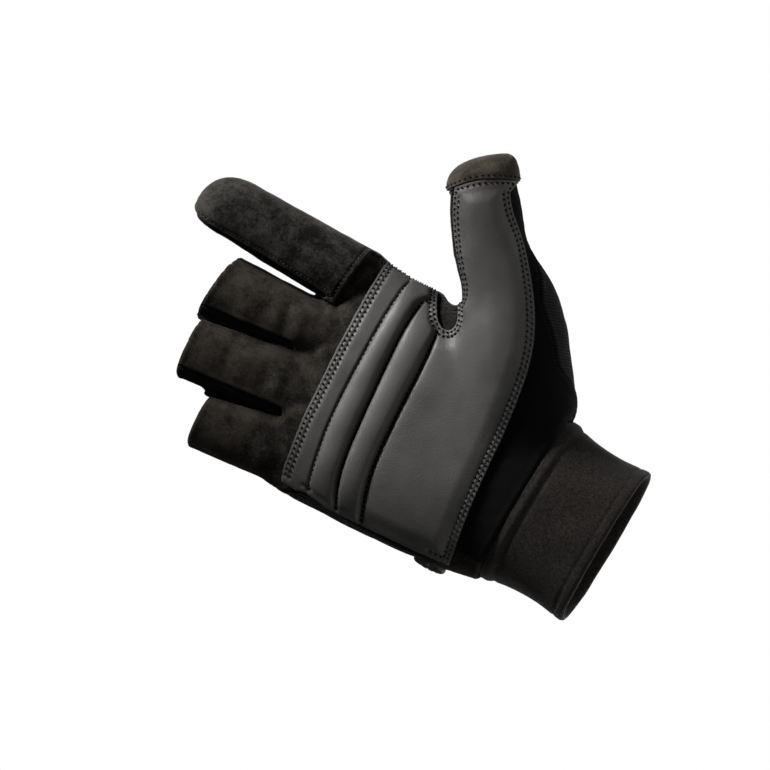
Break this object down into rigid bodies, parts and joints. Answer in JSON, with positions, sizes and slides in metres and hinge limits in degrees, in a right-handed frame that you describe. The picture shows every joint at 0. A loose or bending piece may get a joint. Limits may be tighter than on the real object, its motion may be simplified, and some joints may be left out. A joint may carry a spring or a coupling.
{
  "type": "fishing casting glove",
  "caption": "Right-hand casting glove with a covered index finger and thumb, cut-off fingers, a padded synthetic-leather grip patch with raised ribs and a short elastic cuff.",
  "frame": {"origin": "centre of the cuff's mouth, where the wrist goes in", "axes": "+Z from the cuff's mouth to the fingertips, -Y out of the palm, +X to the thumb's side"},
  "size_m": [0.1492, 0.05, 0.1977],
  "materials": {
    "palm_suede": "matte brown-black synthetic suede",
    "strip_suede": "matte black synthetic suede",
    "fuzzy_suede": "fuzzy black suede",
    "cap_suede": "matte brown-grey synthetic suede",
    "grip_leather": "semi-matte fine-grained grey synthetic leather",
    "jersey": "matte black jersey",
    "knit": "matte black fine-ribbed knit",
    "elastic": "charcoal neoprene-like elastic with fine specks",
    "rubber": "satin dark grey moulded rubber"
  },
  "bodies": {
    "root": {"palm_panel": "palm_suede", "heel_panel": "jersey", "back_panel": "knit", "fourchette_index_middle": "strip_suede", "fourchette_middle_ring": "strip_suede", "fourchette_ring_little": "strip_suede", "grip_patch": "grip_leather", "index_patch": "fuzzy_suede", "thumb_cap": "cap_suede", "cuff": "elastic", "rubber_tab": "rubber"}
  },
  "joints": []
}
